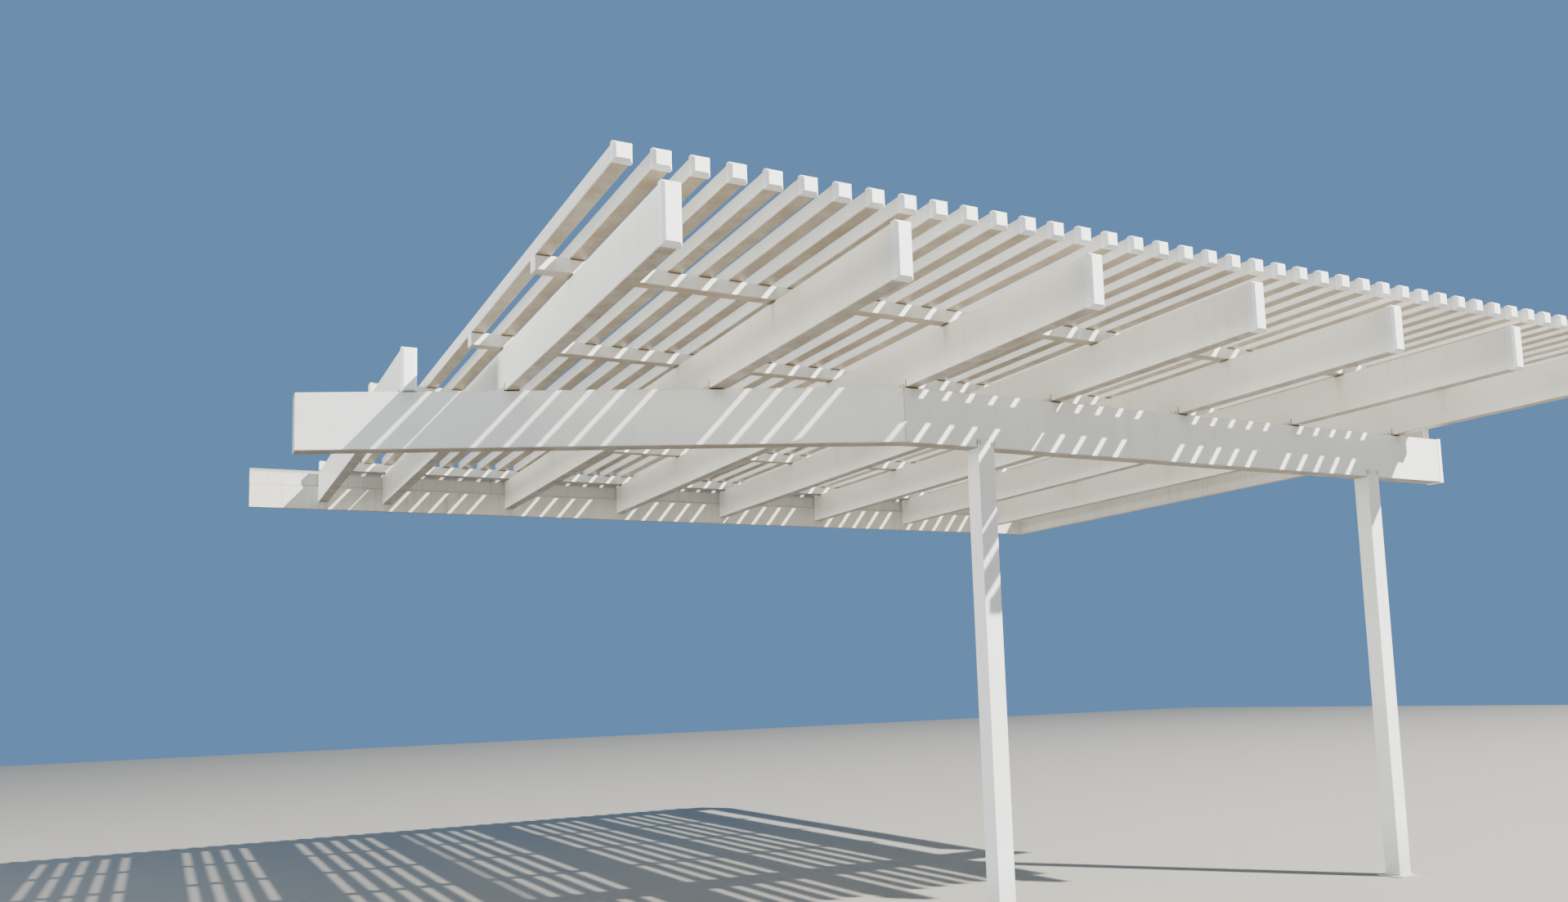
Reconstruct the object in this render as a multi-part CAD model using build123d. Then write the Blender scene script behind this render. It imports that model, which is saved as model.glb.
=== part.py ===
from build123d import *
from math import ceil, cos, radians, tan
import os

# An attached pergola of white hollow sections: two ledgers, a mitred front beam on two posts,
# rafters over the beam, cross bars over the rafters and square lattice tubes over the bars.
# X runs along the right beam, +Y from the beam to the back ledger, +Z up. The origin is under
# the centre of the middle post.

# Heights above the undersides of the base plates
beam_top = 2345.0
beam_height = 241.0

# Hollow sections
post_side = 88.0
post_wall = 3.0
beam_wall = 3.0
rafter_width = 57.2
rafter_height = 187.0
rafter_wall = 2.0
tube_side = 55.0
tube_wall = 1.6
edge_break = 2.5

# Rafters, counted from the left, the first one half a bay from its neighbour
rafter_pitch = 780.0
full_rafters = 7
first_rafter_gap = 383.0
second_rafter_x = -1929.5
overhang = 1230.0

# Plan of the front beam and the posts, the right-hand ends measured from the last rafter
kink_from_post = 413.0
kink_angle = 22.5
beam_left_reach = 2320.0
beam_past_rafter = 361.5
right_post_inset = 584.0

# Lattice tubes
tube_pitch = 120.3
first_tube_inset = 130.5
tube_setback = 42.0
tube_groups = 5

# Rows of cross bars, from the front face of the right beam to the front face of each bar
row_spacing = 1007.0
first_row = -339.0
row_count = 4
last_row = 3783.0

# Ledgers
ledger_face = 3897.0
ledger_drop = 41.0
ledger_board = 145.0
ledger_rise = 96.0
ledger_thickness = 38.0
ledger_step = 10.0
ledger_wall = 2.5
ledger_past_rafter = 346.5

# Slip-on end caps and fixings
cap_wall = 2.5
cap_bevel = 9.5
rafter_cap_depth = 33.0
tube_cap_depth = 25.0
plug_plate = 5.0
saddle_gauge = 2.5
saddle_length = 60.0
saddle_height = 38.0
saddle_setback = 6.0
tab_height = 38.0
base_plate_thickness = 6.0
base_plate_corner = 12.0
anchor_spacing = 114.0
anchor_hole = 11.0
anchor_from_edge = 18.0
tube_end_gap = 40.0

# Derived places
beam_front = -post_side / 2 + post_wall
beam_thickness = post_side - 2 * post_wall
beam_bottom = beam_top - beam_height
kink_x = -kink_from_post
beam_left_end = kink_x - beam_left_reach
rafter_bottom = beam_top + saddle_gauge
rafter_top = rafter_bottom + rafter_height
rafter_x = [second_rafter_x - first_rafter_gap]
rafter_x += [second_rafter_x + bay * rafter_pitch for bay in range(full_rafters)]
beam_right_end = rafter_x[-1] + beam_past_rafter
right_post_x = beam_right_end - right_post_inset
side_ledger_x = rafter_x[-1] + ledger_past_rafter
ledger_y = beam_front + ledger_face
ledger_bottom = beam_top - ledger_drop
last_row_y = beam_front + last_row
tube_back = last_row_y + tube_side + tube_end_gap
base_plate_side = anchor_spacing + 2 * anchor_from_edge
slope = tan(radians(kink_angle))


def box_section(width, height, wall):
    """Square-cornered hollow section with its outer edges eased."""
    outer = Rectangle(width, height)
    outer = chamfer(outer.vertices(), edge_break)
    return outer - Rectangle(width - 2 * wall, height - 2 * wall)


def bar_along_y(section, x, z, front, back):
    return Pos(x, back, z) * extrude(Plane.XZ * section, amount=back - front)


def bar_along_x(section, y, z, left, right):
    return Pos(left, y, z) * extrude(Plane.YZ * section, amount=right - left)


def slip_cap(width, height, depth):
    """Cap with a bevelled front that slips over the end of a section, centred on its axis."""
    behind = (Align.CENTER, Align.MIN, Align.CENTER)
    cap = Box(width + 2 * cap_wall, depth, height + 2 * cap_wall, align=behind)
    cap = chamfer(cap.faces().sort_by(Axis.Y)[0].edges(), cap_bevel)
    mouth = chamfer(Rectangle(width, height).vertices(), edge_break)
    cap -= Pos(0, depth, 0) * extrude(Plane.XZ * mouth, amount=depth - cap_bevel)
    return cap - Pos(0, cap_wall, 0) * Box(
        width - 2 * cap_bevel, depth, height - 2 * cap_bevel, align=behind)


def plug_cap(side, depth):
    """Flat cap with a spigot that plugs into the end of a square section."""
    inside = side - 2 * tube_wall
    plate = Box(side, plug_plate, side, align=(Align.CENTER, Align.MAX, Align.CENTER))
    plate = chamfer(plate.faces().sort_by(Axis.Y)[0].edges(), plug_plate / 2)
    spigot = Box(inside, depth, inside, align=(Align.CENTER, Align.MIN, Align.CENTER))
    return plate + spigot


def beam_front_at(x):
    """Front face of the beam at a place along X: straight to the right, swept back to the left."""
    return beam_front + max(0.0, (kink_x - x) * slope)


parts = {}

# Front beam: two lengths that meet in a mitre at the kink
beam_section = box_section(beam_thickness, beam_height, beam_wall)
beam_z = beam_bottom + beam_height / 2
beam_right = bar_along_x(
    beam_section, beam_front + beam_thickness / 2, beam_z, kink_x - beam_thickness, beam_right_end)
beam_left_length = beam_left_reach / cos(radians(kink_angle))
beam_left = bar_along_x(
    beam_section, beam_thickness / 2, 0, -beam_left_length - beam_thickness, beam_thickness)
beam_left = Pos(kink_x, beam_front, beam_z) * Rot(0, 0, -kink_angle) * beam_left
mitre = Pos(kink_x, beam_front, beam_z) * Rot(0, 0, -kink_angle / 2)
cut_size = 2 * (beam_left_reach + beam_right_end)
cut_block = Box(cut_size, cut_size, cut_size)
right_side = mitre * Pos(cut_size / 2, 0, 0) * cut_block
left_side = mitre * Pos(-cut_size / 2, 0, 0) * cut_block
left_end_cut = Pos(beam_left_end - cut_size / 2, 0, beam_z) * cut_block
parts["beam_right"] = beam_right & right_side
parts["beam_left"] = (beam_left & left_side) - left_end_cut
beam_cap = slip_cap(beam_thickness, beam_height, rafter_cap_depth)
parts["beam_end_cap"] = (
    Pos(beam_right_end + cap_bevel, beam_front + beam_thickness / 2, beam_z) * Rot(0, 0, 90) * beam_cap)

# Posts: the front and back walls run up past the underside of the beam as tabs that hold it
post_section = box_section(post_side, post_side, post_wall)
for name, x in {"post_middle": 0.0, "post_right": right_post_x}.items():
    shaft = Pos(x, 0, base_plate_thickness) * extrude(
        post_section, amount=beam_bottom + tab_height - base_plate_thickness)
    notch = Pos(x, 0, beam_bottom) * Box(
        post_side, beam_thickness, tab_height, align=(Align.CENTER, Align.CENTER, Align.MIN))
    parts[name] = shaft - notch
    plate = chamfer(Rectangle(base_plate_side, base_plate_side).vertices(), base_plate_corner)
    plate -= GridLocations(anchor_spacing, anchor_spacing, 2, 2) * Circle(anchor_hole / 2)
    plate = extrude(plate, amount=base_plate_thickness)
    parts[name.replace("post", "base_plate")] = Pos(x, 0, 0) * plate

# Ledgers: the lower board stands proud of the upper one
outline = Polyline(
    (0, 0), (ledger_thickness, 0), (ledger_thickness, ledger_board),
    (ledger_thickness - ledger_step, ledger_board),
    (ledger_thickness - ledger_step, ledger_board + ledger_rise), (0, ledger_board + ledger_rise),
    close=True)
ledger_section = make_face(outline)
ledger_section -= offset(ledger_section, -ledger_wall, kind=Kind.INTERSECTION)
ledger_back_y = ledger_y + ledger_thickness
side_ledger_back_x = side_ledger_x + ledger_thickness
back_end = Plane((beam_left_end, ledger_back_y, ledger_bottom), x_dir=(0, -1, 0), z_dir=(-1, 0, 0))
parts["ledger_back"] = extrude(
    back_end * ledger_section, amount=side_ledger_back_x - beam_left_end, dir=(1, 0, 0))
side_front = beam_front + beam_thickness + cap_wall
side_end = Plane((side_ledger_back_x, ledger_y, ledger_bottom), x_dir=(-1, 0, 0), z_dir=(0, 1, 0))
parts["ledger_side"] = extrude(
    side_end * ledger_section, amount=ledger_y - side_front, dir=(0, -1, 0))

# Rafters, their end caps and the saddles that hold them on the beam
rafter_section = box_section(rafter_width, rafter_height, rafter_wall)
rafter_z = rafter_bottom + rafter_height / 2
rafter_cap = slip_cap(rafter_width, rafter_height, rafter_cap_depth)
saddle_width = rafter_width + 2 * saddle_gauge
saddle = Box(saddle_width, saddle_length, saddle_height, align=(Align.CENTER, Align.MIN, Align.MIN))
saddle -= Pos(0, 0, saddle_gauge) * Box(
    rafter_width, saddle_length, saddle_height, align=(Align.CENTER, Align.MIN, Align.MIN))
rafter_caps = []
saddles = []
for number, x in enumerate(rafter_x):
    front = beam_front - overhang if number else beam_front_at(x - saddle_width / 2)
    parts[f"rafter_{number + 1}"] = bar_along_y(rafter_section, x, rafter_z, front + cap_bevel, ledger_y)
    rafter_caps.append(Pos(x, front, rafter_z) * rafter_cap)
    seat = beam_front_at(x - saddle_width / 2) + saddle_setback
    if not number:
        seat += rafter_cap_depth
    saddles.append(Pos(x, seat, beam_top) * saddle)
parts["rafter_end_caps"] = Compound(rafter_caps)
parts["rafter_saddles"] = Compound(saddles)

# Cross bars on the rafters: the bars in front of the first rafter start at the first lattice tube
tube_section = box_section(tube_side, tube_side, tube_wall)
bar_z = rafter_top + tube_side / 2
first_tube_x = second_rafter_x - first_tube_inset
tube_count = int((side_ledger_x - tube_side - first_tube_x) / tube_pitch) + 1
tube_x = [first_tube_x + number * tube_pitch for number in range(tube_count)]
bar_right = tube_x[-1] + tube_side / 2
row_y = [beam_front + first_row + row * row_spacing for row in range(row_count)] + [last_row_y]
bar_cap = plug_cap(tube_side, tube_cap_depth)
bar_caps = []
for number, y in enumerate(row_y):
    over_first_rafter = y > beam_front_at(rafter_x[0] - saddle_width / 2) + rafter_cap_depth
    bar_left = rafter_x[0] - rafter_width / 2 if over_first_rafter else tube_x[0] - tube_side / 2
    bar_y = y + tube_side / 2
    parts[f"cross_bar_{number + 1}"] = bar_along_x(tube_section, bar_y, bar_z, bar_left, bar_right)
    bar_caps.append(Pos(bar_left, bar_y, bar_z) * Rot(0, 0, -90) * bar_cap)
    bar_caps.append(Pos(bar_right, bar_y, bar_z) * Rot(0, 0, 90) * bar_cap)
parts["bar_end_caps"] = Compound(bar_caps)

# Lattice tubes on the cross bars, with a cap on each front end
tube_z = rafter_top + tube_side * 3 / 2
tube_front = beam_front - overhang + tube_setback
tube_cap = slip_cap(tube_side, tube_side, tube_cap_depth)
group_size = ceil(tube_count / tube_groups)
for first in range(0, tube_count, group_size):
    group = tube_x[first:first + group_size]
    label = first // group_size + 1
    parts[f"lattice_tubes_{label}"] = Compound(
        [bar_along_y(tube_section, x, tube_z, tube_front + cap_bevel, tube_back) for x in group])
    parts[f"lattice_caps_{label}"] = Compound([Pos(x, tube_front, tube_z) * tube_cap for x in group])

os.makedirs("parts", exist_ok=True)
for name, shape in parts.items():
    export_step(shape, f"parts/{name}.step")
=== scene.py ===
import bpy
import math
import random
from mathutils import Matrix, Vector


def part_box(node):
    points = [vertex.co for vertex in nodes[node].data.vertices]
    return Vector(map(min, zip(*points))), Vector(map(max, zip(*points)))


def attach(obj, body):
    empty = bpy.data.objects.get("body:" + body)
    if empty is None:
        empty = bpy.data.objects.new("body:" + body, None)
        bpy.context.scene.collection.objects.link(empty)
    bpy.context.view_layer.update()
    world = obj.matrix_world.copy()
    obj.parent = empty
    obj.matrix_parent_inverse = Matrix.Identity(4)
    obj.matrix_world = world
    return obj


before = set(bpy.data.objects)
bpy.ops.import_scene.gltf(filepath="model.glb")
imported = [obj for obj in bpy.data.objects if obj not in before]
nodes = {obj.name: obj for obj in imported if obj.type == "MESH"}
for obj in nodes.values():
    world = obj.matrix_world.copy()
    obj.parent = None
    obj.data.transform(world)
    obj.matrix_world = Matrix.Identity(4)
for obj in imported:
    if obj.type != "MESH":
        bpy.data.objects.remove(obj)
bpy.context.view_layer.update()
print("frame loaded:", len(nodes), "nodes")


def nodesNamed(*starts):
    return [nodes[name] for name in sorted(nodes) if name.startswith(starts)]


def lowCorner(name):
    return Vector(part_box(name)[0])


def highCorner(name):
    return Vector(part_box(name)[1])


def middle(name):
    return (lowCorner(name) + highCorner(name)) / 2


# Places read from the fixed frame, in metres
barNames = sorted(name for name in nodes if name.startswith("cross_bar_"))
rafterNames = sorted(name for name in nodes if name.startswith("rafter_") and name[-1].isdigit())
barFronts = [lowCorner(name).y for name in barNames]
barDepth = highCorner(barNames[0]).y - barFronts[0]
rafterPlaces = [middle(name).x for name in rafterNames]
rafterWidth = highCorner(rafterNames[0]).x - lowCorner(rafterNames[0]).x
postPlaces = [middle("post_middle"), middle("post_right")]
postSide = highCorner("post_middle").x - lowCorner("post_middle").x
beamTop, beamBottom = highCorner("beam_right").z, lowCorner("beam_right").z
beamFront, beamBack = lowCorner("beam_right").y, highCorner("beam_right").y
tabTop = highCorner("post_middle").z
kinkAngle = math.radians(22.5)
kinkPlace = Vector((-0.413, beamFront, 0))     # where the front face of the beam turns
seat = 0.006                # how far a saddle stands back from the front of the beam
saddleGauge = 0.0025
capDepth = 0.033            # the first rafter's saddle stands behind its end cap
ledgerTop = highCorner("ledger_back").z
ledgerStep = 2.449          # where the lower board ends
rafterTop = highCorner("rafter_2").z
barTop = highCorner(barNames[0]).z
tubeNames = [name for name in nodes if name.startswith("lattice_tubes_")]
tubeTop = highCorner("lattice_tubes_1").z
tubeSide = tubeTop - lowCorner("lattice_tubes_1").z
firstTube = lowCorner("lattice_tubes_1").x + tubeSide / 2
lastTube = max(highCorner(name).x for name in tubeNames) - tubeSide / 2
tubeCount = 43              # in all the groups together
tubePitch = (lastTube - firstTube) / (tubeCount - 1)

# The picture: where the camera stood and how it was held
picture = {
    "size": (1918, 1103),
    "place": (-3.196, -4.526, 1.062),
    "heading": 28.59,            # degrees from +Y towards +X
    "tilt": 6.27,                # degrees up
    "roll": -1.99,
    "focalPixels": 1533.6,
    "centre": (1027.7, 675.5),   # where the lens axis meets the picture
    "farthest": 200,
}


def placeCamera():
    heading, tilt, roll = (math.radians(picture[key]) for key in ("heading", "tilt", "roll"))
    level = math.cos(tilt)
    ahead = Vector((math.sin(heading) * level, math.cos(heading) * level, math.sin(tilt)))
    side = Vector((math.cos(heading), -math.sin(heading), 0))
    above = side.cross(ahead)
    turn = Matrix.Rotation(-roll, 3, ahead)
    side, above = turn @ side, turn @ above
    lens = bpy.data.cameras.new("photoCamera")
    wide, high = picture["size"]
    lens.sensor_width = 36
    lens.lens = picture["focalPixels"] / wide * lens.sensor_width
    lens.shift_x = (wide / 2 - picture["centre"][0]) / wide
    lens.shift_y = (picture["centre"][1] - high / 2) / wide
    lens.clip_end = picture["farthest"]
    camera = bpy.data.objects.new("photoCamera", lens)
    bpy.context.scene.collection.objects.link(camera)
    axes = Matrix((side, above, -ahead)).transposed().to_4x4()
    camera.matrix_world = Matrix.Translation(picture["place"]) @ axes
    bpy.context.scene.camera = camera


placeCamera()
print("camera placed")


# Shader work: a wire is one socket, and sums on wires add Math nodes
class Wire:
    def __init__(self, tree, socket):
        self.tree = tree
        self.socket = socket

    def maths(self, operation, first, second):
        node = self.tree.nodes.new("ShaderNodeMath")
        node.operation = operation
        for place, value in enumerate((first, second)):
            connect(self.tree, node.inputs[place], value)
        return Wire(self.tree, node.outputs[0])

    def __add__(self, other):
        return self.maths("ADD", self, other)

    def __radd__(self, other):
        return self.maths("ADD", other, self)

    def __sub__(self, other):
        return self.maths("SUBTRACT", self, other)

    def __rsub__(self, other):
        return self.maths("SUBTRACT", other, self)

    def __mul__(self, other):
        return self.maths("MULTIPLY", self, other)

    def __rmul__(self, other):
        return self.maths("MULTIPLY", other, self)

    def __truediv__(self, other):
        return self.maths("DIVIDE", self, other)

    def __abs__(self):
        return self.maths("ABSOLUTE", self, None)

    def fraction(self):
        return self.maths("FRACT", self, None)

    def larger(self, other):
        return self.maths("MAXIMUM", self, other)


def connect(tree, socket, value):
    if isinstance(value, Wire):
        tree.links.new(value.socket, socket)
    elif value is not None:
        socket.default_value = value


class Finish:
    def __init__(self, name):
        self.material = bpy.data.materials.new(name)
        self.material.use_nodes = True
        self.tree = self.material.node_tree
        self.tree.nodes.clear()

    def add(self, kind, settings=None, sockets=None, out=0):
        node = self.tree.nodes.new(kind)
        for key, value in (settings or {}).items():
            setattr(node, key, value)
        for key, value in (sockets or {}).items():
            connect(self.tree, node.inputs[key], value)
        if out == "all":
            return [Wire(self.tree, socket) for socket in node.outputs]
        return Wire(self.tree, node.outputs[out])

    def place(self):
        return self.add("ShaderNodeTexCoord", out="Object")

    def stretched(self, scale):
        return self.add("ShaderNodeMapping", {}, {"Vector": self.place(), "Scale": scale})

    def noise(self, vector, scale, detail=3.0, rough=0.55, warp=0.0):
        return self.add("ShaderNodeTexNoise", {}, {
            "Vector": vector, "Scale": scale, "Detail": detail, "Roughness": rough, "Distortion": warp})

    def window(self, value, low, high, bottom=0.0, top=1.0):
        return self.add("ShaderNodeMapRange", {"clamp": True, "interpolation_type": "SMOOTHSTEP"}, {
            "Value": value, "From Min": low, "From Max": high, "To Min": bottom, "To Max": top})

    def near(self, value, place, reach):
        return self.window(abs(value - place), reach, 0.0)

    def blend(self, amount, first, second, mode="MIX"):
        return self.add("ShaderNodeMix", {"data_type": "RGBA", "blend_type": mode}, {
            0: amount, 6: first, 7: second}, out=2)

    def parts(self, vector):
        return self.add("ShaderNodeSeparateXYZ", {}, {0: vector}, out="all")

    def facing(self):
        return self.parts(self.add("ShaderNodeNewGeometry", out="Normal"))

    def down(self):
        return self.window(self.facing()[2], -0.4, -0.9)

    def bump(self, height, distance, strength=1.0, after=None):
        return self.add("ShaderNodeBump", {}, {
            "Height": height, "Distance": distance, "Strength": strength, "Normal": after})

    def surface(self, colour, roughness, normal=None, **constants):
        sockets = {"Base Color": colour, "Roughness": roughness, "Normal": normal}
        sockets.update({key.replace("_", " "): value for key, value in constants.items()})
        shader = self.add("ShaderNodeBsdfPrincipled", {}, sockets)
        self.add("ShaderNodeOutputMaterial", {}, {"Surface": shader}, out="all")
        return self.material


# Painted aluminium: a base coat that has chalked, rain runs, dust on top, and painted shade below, tan
# like light bounced up from the ground
paint = {
    "colour": (0.80, 0.80, 0.75, 1), "second": (0.735, 0.73, 0.675, 1), "toneScale": 1.1,
    "grimeAndShade": (0.135, 0.092, 0.05, 1), "specks": 0.2,
    "dustColour": (0.52, 0.47, 0.39, 1), "dust": 0.85,
    "underColour": (0.26, 0.185, 0.105, 1), "under": 0.92,
    "runStretch": (16, 16, 1.4), "runs": 0.09,
    "peelScale": 420, "drawStretch": (260, 0.6, 260), "roughness": 0.44,
}


def summed(marks):
    total = marks[0]
    for mark in marks[1:]:
        total = total + mark
    return total


tubeContactShade = {"strength": 0.7, "before": 0.006, "behind": 0.008}


def contactShadeOnTube(finish, x, y, z):
    # Painted shadow in the corner where a tube lies on each cross bar, just in front and just behind, on
    # faces that look down
    contactShade = summed([
        finish.near(y, front, tubeContactShade["before"])
        + 0.6 * finish.near(y, front + barDepth, tubeContactShade["behind"])
        for front in barFronts])
    return contactShade * finish.down() * tubeContactShade["strength"]


# Strengths of the drips, and of the painted shade and shadow at the seats, the saddle edge, the slit and
# low down
rafterStainsAndShade = {
    "drips": 0.3, "dripReach": 0.05, "dripFall": 0.16, "seatStainsAndShade": 0.85,
    "saddleHigh": 0.038, "edge": 0.8, "slitShadow": 0.9, "low": 0.3,
}


def stainsAndShadeOnRafter(finish, x, y, z):
    # Painted shade where each cross bar lies on the rafter, and brown drips below it
    look = rafterStainsAndShade
    ragged = finish.noise(finish.stretched((40, 40, 3)), 1.0, 4.0, 0.6)
    fromBars = [abs(y - (front + barDepth / 2)) for front in barFronts]
    drips = summed([finish.window(away, look["dripReach"], 0.0) for away in fromBars])
    drips = drips * finish.window(ragged, 0.42, 0.7) * look["drips"]
    drips = drips * finish.window(z, rafterTop - look["dripFall"], rafterTop)
    seatStainsAndShade = summed([
        finish.window(away, barDepth / 2 + 0.006, barDepth / 2 - 0.004) for away in fromBars])
    seatStainsAndShade = seatStainsAndShade * finish.window(z, rafterTop - 0.009, rafterTop - 0.001) * look["seatStainsAndShade"]
    # Painted shadow: a dark line round the saddle and in the slit under the rafter, and ragged painted
    # shade low down behind it
    swept = ((kinkPlace.x - x) * math.tan(kinkAngle)).larger(0.0)
    back = y - (swept + beamFront + seat)
    saddleTop = beamTop + look["saddleHigh"]
    edge = finish.near(back, -0.001, 0.004) * finish.window(z, saddleTop + 0.003, saddleTop - 0.002)
    slitShadow = finish.near(back, 0.01, 0.04) * finish.window(z, beamTop + 0.0075, beamTop + 0.004)
    low = finish.near(back, 0.04, 0.09) * finish.window(z, beamTop + 0.03, beamTop)
    low = low * finish.window(ragged, 0.3, 0.6)
    return drips + seatStainsAndShade + edge * look["edge"] + slitShadow * look["slitShadow"] + low * look["low"]


barContactShade = {"contactShade": 0.9, "shadeBesideRafter": 0.8, "shadeBesideRafterReach": 0.02}


def contactShadeOnBar(finish, x, y, z):
    # Painted shadow under each lattice tube, and painted shade beside each rafter, mostly on the
    # underside
    away = abs(((x - firstTube) / tubePitch + 0.5).fraction() - 0.5) * tubePitch
    contactShade = finish.window(away, tubeSide / 2 + 0.006, tubeSide / 2 - 0.004)
    contactShade = contactShade * finish.window(z, barTop - 0.008, barTop - 0.001)
    shadeBesideRafter = summed([
        finish.near(abs(x - place), rafterWidth / 2, barContactShade["shadeBesideRafterReach"]) for place in rafterPlaces])
    shadeBesideRafter = shadeBesideRafter * (0.15 + 0.6 * finish.down())
    return contactShade * barContactShade["contactShade"] + shadeBesideRafter * barContactShade["shadeBesideRafter"]


beamStainsAndShade = {
    "seam": 0.38, "runs": 0.16, "runReach": 0.055, "seatStainsAndShade": 0.26, "slitShadows": 0.85, "lip": 0.21,
    "tabs": 0.75, "crown": 0.35,
}


def stainsAndShadeOnBeam(finish, x, y, z):
    # A brown line at the mitre, and a wider shade of it
    look = beamStainsAndShade
    wander = finish.noise(finish.place(), 30.0, 3.0, 0.6)
    seam = finish.near(x + 0.004 * (wander - 0.5), kinkPlace.x, 0.006) * finish.window(wander, 0.3, 0.55)
    seam = seam + 0.35 * finish.near(x, kinkPlace.x, 0.035) * finish.window(wander, 0.48, 0.72)
    # Under each rafter a mark, painted shadow for the slit below it, and runs; dirt along the bottom
    # edge
    ragged = finish.noise(finish.stretched((60, 60, 2.2)), 1.0, 4.0, 0.6)
    fromRafters = [abs(x - place) for place in rafterPlaces]
    reached = summed([finish.window(away, look["runReach"], 0.0) for away in fromRafters])
    slitShadows = summed([
        finish.window(away, rafterWidth / 2 + 0.002, rafterWidth / 2 - 0.004) for away in fromRafters])
    seatStainsAndShade = reached * finish.window(z, beamTop - 0.075, beamTop)
    seatStainsAndShade = seatStainsAndShade * finish.window(wander, 0.2, 0.6, 0.5, 1.0)
    slitShadows = slitShadows * finish.window(z, beamTop - 0.005, beamTop - 0.002)
    runs = reached * finish.window(z, beamBottom + 0.03, beamTop) * finish.window(ragged, 0.5, 0.72)
    lip = finish.window(z, beamBottom + 0.012, beamBottom)
    # A broken line round the tabs of the posts
    tabs = []
    for post in postPlaces:
        away = abs(x - post.x)
        sides = finish.near(away, postSide / 2 + 0.001, 0.006)
        sides = sides * finish.window(z, tabTop + 0.003, tabTop - 0.002)
        crown = finish.near(z, tabTop + 0.001, 0.005)
        crown = crown * finish.window(away, postSide / 2 + 0.003, postSide / 2)
        tabs.append(sides + crown * look["crown"])
    tabs = summed(tabs) * finish.window(wander, 0.25, 0.5, 0.45, 1.0)
    return (seam * look["seam"] + runs * look["runs"] + seatStainsAndShade * look["seatStainsAndShade"] + slitShadows * look["slitShadows"]
            + lip * look["lip"] + tabs * look["tabs"])


tabScrews = {"fromEdge": 0.013, "aboveUnderside": 0.024}
postMarks = {"splash": 0.4, "splashHigh": 0.34, "tab": 0.3, "rings": 0.95}


def stainsOnPost(finish, x, y, z):
    # Splashed dirt low down
    look = postMarks
    ragged = finish.noise(finish.stretched((9, 9, 5)), 1.0, 6.0, 0.68)
    splash = finish.window(z + 0.22 * (ragged - 0.5), look["splashHigh"], 0.02)
    splash = splash * finish.window(ragged, 0.3, 0.62, 0.35, 1.0)
    # Rusty marks where the tabs grip the beam, and round their screws
    tab = finish.window(z, beamBottom - 0.002, beamBottom + 0.03) * finish.window(ragged, 0.52, 0.66)
    rings = []
    for post in postPlaces:
        away = abs(x - post.x)
        rings.append(
            finish.near(away, postSide / 2 - tabScrews["fromEdge"], 0.012)
            + finish.near(away, postSide / 2, 0.005))
    rings = summed(rings) * finish.near(z, beamBottom + tabScrews["aboveUnderside"], 0.017)
    rings = rings * finish.window(ragged, 0.3, 0.6, 0.6, 1.0)
    return splash * look["splash"] + tab * look["tab"] + rings * look["rings"]


ledgerStainsAndShade = {"runs": 0.21, "step": 0.35, "top": 0.55}


def stainsAndShadeOnLedger(finish, x, y, z):
    # Runs, a painted shadow line along the step and painted shade along the top edge, but none on the
    # faces that are fixed flat
    ragged = finish.noise(finish.stretched((50, 50, 2.0)), 1.0, 4.0, 0.6)
    runs = finish.window(ragged, 0.5, 0.74)
    step = finish.near(z, ledgerStep, 0.008)
    top = finish.window(z, ledgerTop - 0.03, ledgerTop - 0.005)
    right, back = finish.facing()[:2]
    marks = runs * ledgerStainsAndShade["runs"] + step * ledgerStainsAndShade["step"] + top * ledgerStainsAndShade["top"]
    return marks * finish.window(right + back, 0.5, 0.1)


def noStains(finish, x, y, z):
    return 0.0 * x


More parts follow.
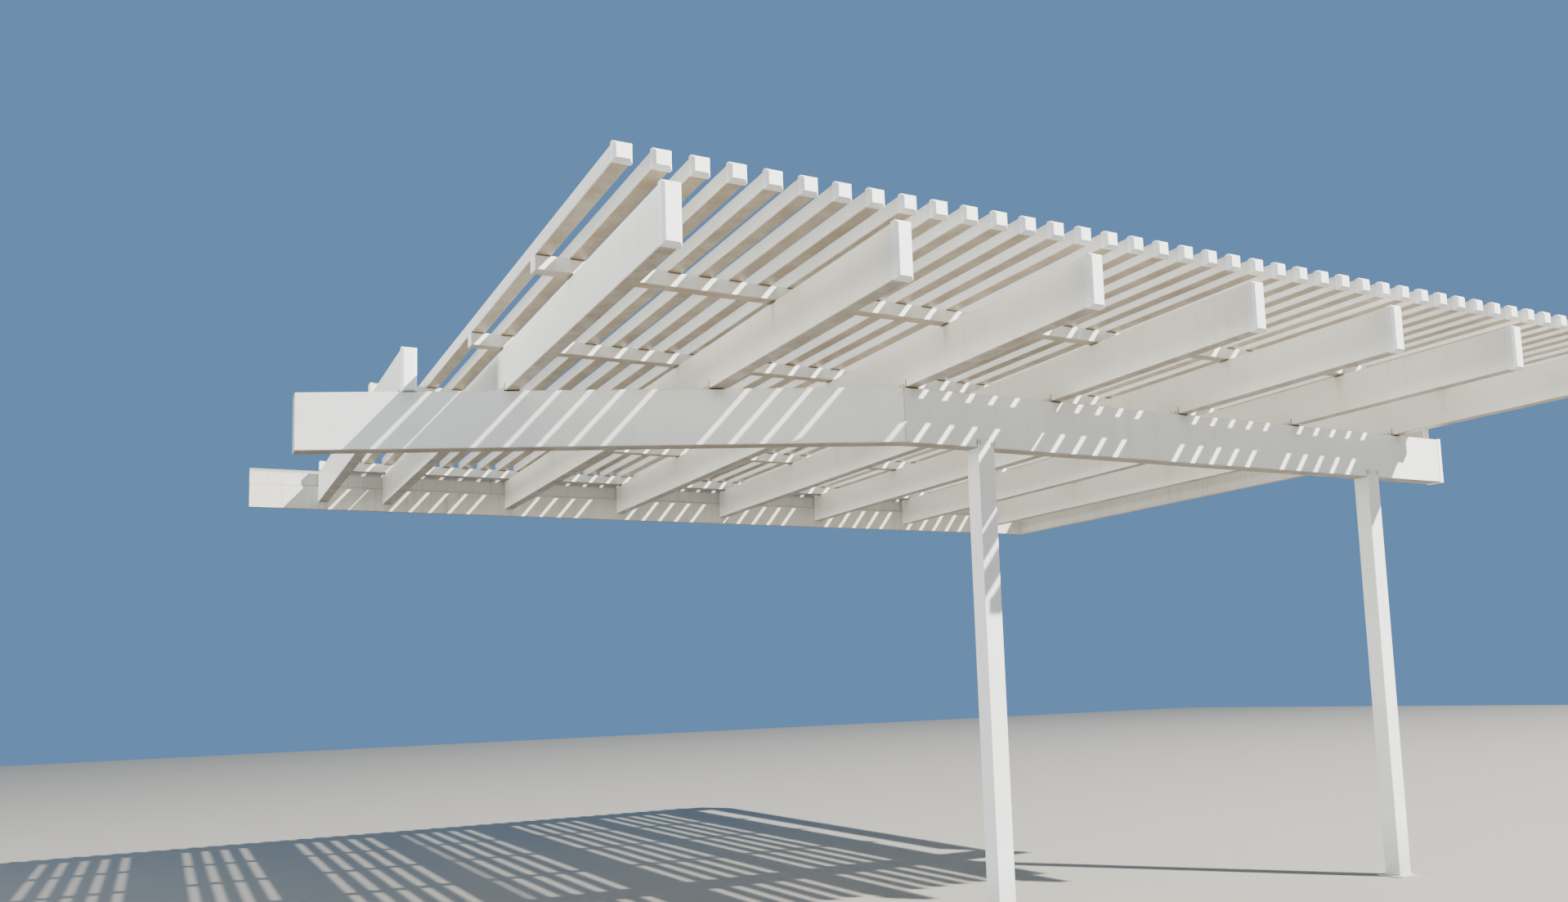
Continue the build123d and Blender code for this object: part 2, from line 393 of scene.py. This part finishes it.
def coated(name, look, stainsAndShade=noStains):
    finish = Finish(name)
    place = finish.place()
    x, y, z = finish.parts(place)
    up = finish.facing()[2]
    # The base coat in two tones, a little soiled in patches
    tone = finish.noise(place, look["toneScale"], 4.0, 0.6)
    colour = finish.blend(finish.window(tone, 0.3, 0.72), look["colour"], look["second"])
    mottle = finish.noise(place, 9.0, 5.0, 0.68)
    colour = finish.blend(finish.window(mottle, 0.5, 0.8) * 0.16, colour, look["dustColour"])
    # Painted shade on faces that look down, tan like light bounced up from the ground
    under = finish.window(up, -0.35, -0.9) * finish.window(mottle, 0.25, 0.7, 0.75, 1.0)
    colour = finish.blend(under * look["under"], colour, look["underColour"])
    # Rain runs, then dust on faces that look up, then specks
    runs = finish.noise(finish.stretched(look["runStretch"]), 1.0, 5.0, 0.62, 0.3)
    runs = finish.window(runs, 0.52, 0.76) * look["runs"]
    colour = finish.blend(runs, colour, look["grimeAndShade"])
    settled = finish.window(finish.noise(place, 6.0, 6.0, 0.7), 0.35, 0.75, 0.3, 1.0)
    dust = finish.window(up, 0.5, 0.98) * settled * look["dust"]
    colour = finish.blend(dust, colour, look["dustColour"])
    specks = finish.window(finish.noise(place, 70.0, 2.0, 0.5), 0.69, 0.76) * look["specks"]
    colour = finish.blend(specks, colour, look["grimeAndShade"])
    # Each piece's own stains, with the painted shade and shadow where its parts meet, in the dark grime
    # colour
    stainAndShade = stainsAndShade(finish, x, y, z)
    colour = finish.blend(stainAndShade, colour, look["grimeAndShade"])
    # Relief: waves in the sheet, lines from drawing, the peel of the coat and raised dirt
    waves = finish.noise(place, 3.2, 1.0, 0.4)
    draw = finish.noise(finish.stretched(look["drawStretch"]), 1.0, 2.0, 0.5)
    peel = finish.noise(place, look["peelScale"], 2.0, 0.5)
    normal = finish.bump(waves, 0.004, 0.35)
    normal = finish.bump(draw, 0.0004, 0.5, normal)
    normal = finish.bump(peel, 0.00025, 0.35, normal)
    normal = finish.bump(specks + runs, 0.0003, 0.4, normal)
    rough = look["roughness"] + 0.2 * runs + 0.3 * dust + 0.25 * stainAndShade + 0.08 * (mottle - 0.5)
    return finish.surface(colour, rough, normal, Specular_IOR_Level=0.45)


# What differs from one piece to the next: the way its section was drawn, how it has aged, and painted
# light and shade in the base coat
alongX = {"drawStretch": (0.6, 260, 260)}
alongZ = {"drawStretch": (260, 260, 0.6)}
# Darker painted shade below for the beam and the rafters
darkerShadeBelow = {"underColour": (0.165, 0.115, 0.068, 1)}
paintedSkyShade = {"colour": (0.755, 0.78, 0.775, 1), "second": (0.69, 0.71, 0.70, 1)}     # painted shade: darker and bluer, as if lit only by the sky
# Painted light: the rafters' base coat made lighter, as if lit by bounced light
paintedBounceLight = {"colour": (0.87, 0.865, 0.80, 1), "second": (0.81, 0.80, 0.73, 1)}
# Painted shade: the ledger's base coat made darker, as if in deep shade under the house
paintedDeepShade = {"colour": (0.58, 0.575, 0.52, 1), "second": (0.53, 0.52, 0.465, 1)}
moulded = {
    **paint, "colour": (0.92, 0.93, 0.935, 1), "second": (0.88, 0.89, 0.89, 1), "runs": 0.03,
    "dust": 0.3, "under": 0.3, "roughness": 0.34, "peelScale": 900, "specks": 0.15}
zinc = {
    **paint, "colour": (0.42, 0.42, 0.41, 1), "second": (0.32, 0.32, 0.31, 1), "runs": 0.3,
    "dust": 0.6, "roughness": 0.5}
finishes = {
    "beamPaint": coated("beamPaint", {**paint, **alongX, **darkerShadeBelow, **paintedSkyShade}, stainsAndShadeOnBeam),
    "postPaint": coated("postPaint", {**paint, **alongZ, **paintedSkyShade, "runs": 0.08}, stainsOnPost),
    "rafterPaint": coated("rafterPaint", {**paint, **darkerShadeBelow, **paintedBounceLight}, stainsAndShadeOnRafter),
    "tubePaint": coated("tubePaint", {**paint, "runs": 0.05}, contactShadeOnTube),
    "barPaint": coated("barPaint", {**paint, **alongX, "runs": 0.07}, contactShadeOnBar),
    "ledgerPaint": coated("ledgerPaint", {**paint, **alongX, **paintedDeepShade, "runs": 0.12}, stainsAndShadeOnLedger),
    "capPlastic": coated("capPlastic", moulded),
    "plateZinc": coated("plateZinc", zinc),
}


def dress(finishName, *starts):
    for node in nodesNamed(*starts):
        for place in node.material_slots:
            place.material = finishes[finishName]


dress("beamPaint", "beam_left", "beam_right")
dress("postPaint", "post_")
dress("rafterPaint", "rafter_")
dress("tubePaint", "lattice_tubes")
dress("barPaint", "cross_bar_")
dress("ledgerPaint", "ledger_")
dress("capPlastic", "lattice_caps", "rafter_end_caps", "beam_end_cap", "bar_end_caps")
dress("plateZinc", "base_plate")
print("finishes given")


# Screws with a hexagon head on a washer, as thin aluminium is held
screw = {
    "washerRadius": 0.0068, "washerThick": 0.0012, "washerEase": 0.0004,
    "headRadius": 0.0042, "headHigh": 0.0042, "headEase": 0.0007, "lean": 0.02,
}
saddleScrews = {"along": (0.016, 0.044), "aboveBeam": 0.014}


def selectFaces(piece, chosen):
    for face in piece.data.polygons:
        face.select = chosen(face)
    for edge in piece.data.edges:
        edge.select = False
    for point in piece.data.vertices:
        point.select = False
    bpy.ops.object.mode_set(mode="EDIT")
    bpy.ops.mesh.select_mode(type="FACE")


def startPiece(name, finishName):
    piece = bpy.context.object
    piece.name = name
    piece.data.name = name
    piece.data.materials.clear()
    piece.data.materials.append(finishes[finishName])
    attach(piece, "root")
    return piece


def pick(*pieces):
    bpy.ops.object.select_all(action="DESELECT")
    for piece in pieces:
        piece.select_set(True)
    bpy.context.view_layer.objects.active = pieces[0]


def applyPlace(*pieces):
    pick(*pieces)
    bpy.ops.object.transform_apply(location=True, rotation=True, scale=True)


def easeTop(piece, top, width):
    # Bevels the edge round the highest face
    selectFaces(piece, lambda face: face.center.z > top - 0.00001 and face.normal.z > 0.9)
    bpy.ops.mesh.bevel(offset=width, segments=1, affect="EDGES")
    bpy.ops.object.mode_set(mode="OBJECT")


def makeScrew():
    # Modelled once on the origin with its head up +Z
    bpy.ops.object.select_all(action="DESELECT")
    bpy.ops.mesh.primitive_cylinder_add(
        vertices=12, radius=screw["washerRadius"], depth=screw["washerThick"],
        location=(0, 0, screw["washerThick"] / 2))
    washer = bpy.context.object
    applyPlace(washer)
    easeTop(washer, screw["washerThick"], screw["washerEase"])
    bpy.ops.object.select_all(action="DESELECT")
    bpy.ops.mesh.primitive_cylinder_add(
        vertices=6, radius=screw["headRadius"], depth=screw["headHigh"],
        location=(0, 0, screw["washerThick"] + screw["headHigh"] / 2))
    head = bpy.context.object
    applyPlace(head)
    easeTop(head, screw["washerThick"] + screw["headHigh"], screw["headEase"])
    pick(washer, head)
    bpy.ops.object.join()
    return washer


def placeScrews(name, model, finishName, places):
    # One copy with its own mesh for each place, a point and the way the head looks out
    chance = random.Random(name)
    copies = []
    for point, out in places:
        piece = model.copy()
        piece.data = model.data.copy()
        bpy.context.scene.collection.objects.link(piece)
        spin = Matrix.Rotation(chance.uniform(0, math.pi), 4, "Z")
        lean = Vector((chance.gauss(0, screw["lean"]), chance.gauss(0, screw["lean"]), 0)) + Vector(out)
        stand = lean.to_track_quat("Z", "Y").to_matrix().to_4x4()
        piece.matrix_world = Matrix.Translation(point) @ stand @ spin
        copies.append(piece)
    applyPlace(*copies)
    bpy.ops.object.join()
    startPiece(name, finishName)
    bpy.ops.object.shade_smooth_by_angle(angle=math.radians(35))


def beamFrontAt(x):
    return beamFront + max(0.0, (kinkPlace.x - x) * math.tan(kinkAngle))


finishes["screwPaint"] = coated("screwPaint", {
    **moulded, "colour": (0.62, 0.60, 0.56, 1), "second": (0.50, 0.47, 0.43, 1), "runs": 0.3,
    "specks": 0.6, "under": 0.2})
screwModel = makeScrew()
saddlePlaces = []
for number, x in enumerate(rafterPlaces):
    saddleSide = rafterWidth / 2 + saddleGauge
    saddleFront = beamFrontAt(x - saddleSide) + seat + (0 if number else capDepth)
    for side in (-1, 1):
        for along in saddleScrews["along"]:
            point = (x + side * saddleSide, saddleFront + along, beamTop + saddleScrews["aboveBeam"])
            saddlePlaces.append((point, (side, 0, 0)))
placeScrews("saddle_screws", screwModel, "screwPaint", saddlePlaces)
tabPlaces = []
for post in postPlaces:
    for side in (-1, 1):
        x = post.x + side * (postSide / 2 - tabScrews["fromEdge"])
        for face in (-1, 1):
            point = (x, post.y + face * postSide / 2, beamBottom + tabScrews["aboveUnderside"])
            tabPlaces.append((point, (0, face, 0)))
placeScrews("tab_screws", screwModel, "screwPaint", tabPlaces)
roofPlaces = []
for number in range(tubeCount):
    for front in barFronts:
        point = (firstTube + number * tubePitch, front + barDepth / 2, tubeTop)
        roofPlaces.append((point, (0, 0, 1)))
placeScrews("roof_screws", screwModel, "screwPaint", roofPlaces)
bpy.data.objects.remove(screwModel)
print("screws placed")


# Sealant in the mitre of the beam, on its face and along its underside
seamBead = {"radius": 0.0016, "sunk": 0.0009, "ease": 0.0025, "cuts": 10, "lumps": 0.00045}


def makeBead(length, place, turn):
    bpy.ops.object.select_all(action="DESELECT")
    bpy.ops.mesh.primitive_cylinder_add(
        vertices=8, radius=seamBead["radius"], depth=length, location=place, rotation=turn)
    bead = bpy.context.object
    applyPlace(bead)
    bpy.ops.object.mode_set(mode="EDIT")
    bpy.ops.mesh.select_all(action="SELECT")
    bpy.ops.mesh.subdivide(number_cuts=seamBead["cuts"])
    bpy.ops.transform.vertex_random(offset=seamBead["lumps"], uniform=0.3, normal=0.6, seed=7)
    bpy.ops.mesh.vertices_smooth(factor=0.5)
    bpy.ops.object.mode_set(mode="OBJECT")
    return bead


beamThick = beamBack - beamFront
beamHigh = beamTop - beamBottom
mitre = Vector((math.sin(kinkAngle / 2), math.cos(kinkAngle / 2), 0))
faceBead = makeBead(
    beamHigh - 2 * seamBead["ease"],
    (kinkPlace.x, beamFront + seamBead["sunk"], (beamTop + beamBottom) / 2), (0, 0, 0))
underLength = beamThick / mitre.y - 2 * seamBead["ease"]
underMiddle = kinkPlace + mitre * (beamThick / mitre.y / 2)
underBead = makeBead(
    underLength, (underMiddle.x, underMiddle.y, beamBottom + seamBead["sunk"]),
    (math.pi / 2, 0, -kinkAngle / 2))
pick(faceBead, underBead)
bpy.ops.object.join()
finishes["sealant"] = coated("sealant", {
    **moulded, "colour": (0.66, 0.60, 0.50, 1), "second": (0.50, 0.40, 0.29, 1), "runs": 0.3,
    "roughness": 0.6})
startPiece("mitre_sealant", "sealant")
bpy.ops.object.shade_smooth_by_angle(angle=math.radians(50))
print("mitre sealed")


# Weld round the foot of each post, on its base plate
weld = {"leg": 0.006, "bury": 0.001, "gap": 0.0005, "cuts": 16, "ripple": 0.0007}


def makeWeld(name, post):
    plateTop = highCorner(name.replace("weld", "base_plate")).z
    low, high = plateTop - weld["bury"], plateTop + weld["leg"]
    wide = postSide + 2 * weld["leg"]
    bpy.ops.object.select_all(action="DESELECT")
    bpy.ops.mesh.primitive_cube_add(size=1, location=(post.x, post.y, (low + high) / 2))
    piece = bpy.context.object
    piece.scale = (wide, wide, high - low)
    applyPlace(piece)
    selectFaces(piece, lambda face: face.normal.z > 0.9)
    shrink = (postSide + 2 * weld["gap"]) / wide
    bpy.ops.transform.resize(value=(shrink, shrink, 1), center_override=(post.x, post.y, high))
    bpy.ops.mesh.select_all(action="SELECT")
    bpy.ops.mesh.subdivide(number_cuts=weld["cuts"])
    bpy.ops.transform.vertex_random(offset=weld["ripple"], uniform=0.4, normal=0.5, seed=11)
    bpy.ops.object.mode_set(mode="OBJECT")
    bpy.ops.object.shade_smooth_by_angle(angle=math.radians(60))
    startPiece(name, "postPaint")


makeWeld("weld_middle", postPlaces[0])
makeWeld("weld_right", postPlaces[1])
print("feet welded")


# Floor and light
stage = {
    "floorColour": (0.275, 0.265, 0.235, 1), "floorSecond": (0.262, 0.252, 0.222, 1),
    "floorSize": 60.0, "floorHeight": -0.0005,
    "sky": (0.26, 0.54, 1.0, 1), "skyStrength": 0.50, "lightAim": (0.3, 0.3, 2.2),
}
lights = {
    "key": {"place": (22.1, -27.6, 30.0), "size": 0.5, "watts": 118000, "colour": (1.0, 0.95, 0.88)},
    "left": {"place": (-12.5, 2.2, 2.4), "size": 3.0, "watts": 1660, "colour": (1.0, 0.995, 0.93)},
    "back": {"place": (-3.0, 12.0, 9.0), "size": 6.0, "watts": 120, "colour": (0.85, 0.92, 1.0)},
}


def makeStage():
    bpy.ops.object.select_all(action="DESELECT")
    bpy.ops.mesh.primitive_plane_add(size=stage["floorSize"], location=(0, 0, stage["floorHeight"]))
    floor = bpy.context.object
    floor.name = "floor"
    finish = Finish("floorPale")
    tone = finish.noise(finish.place(), 1.5, 3.0)
    colour = finish.blend(tone, stage["floorColour"], stage["floorSecond"])
    floor.data.materials.append(finish.surface(colour, 0.85))


def areaLight(name, look):
    lamp = bpy.data.lights.new(name, "AREA")
    lamp.shape = "DISK"
    lamp.size = look["size"]
    lamp.energy = look["watts"]
    lamp.color = look["colour"]
    holder = bpy.data.objects.new(name, lamp)
    bpy.context.scene.collection.objects.link(holder)
    holder.location = look["place"]
    towards = Vector(stage["lightAim"]) - Vector(look["place"])
    holder.rotation_euler = towards.to_track_quat("-Z", "Y").to_euler()


makeStage()
for lightName, look in lights.items():
    areaLight(lightName + "Light", look)
world = bpy.data.worlds.new("paleSky")
bpy.context.scene.world = world
world.use_nodes = True
sky = world.node_tree.nodes["Background"]
sky.inputs["Color"].default_value = stage["sky"]
sky.inputs["Strength"].default_value = stage["skyStrength"]
print("stage and light set")
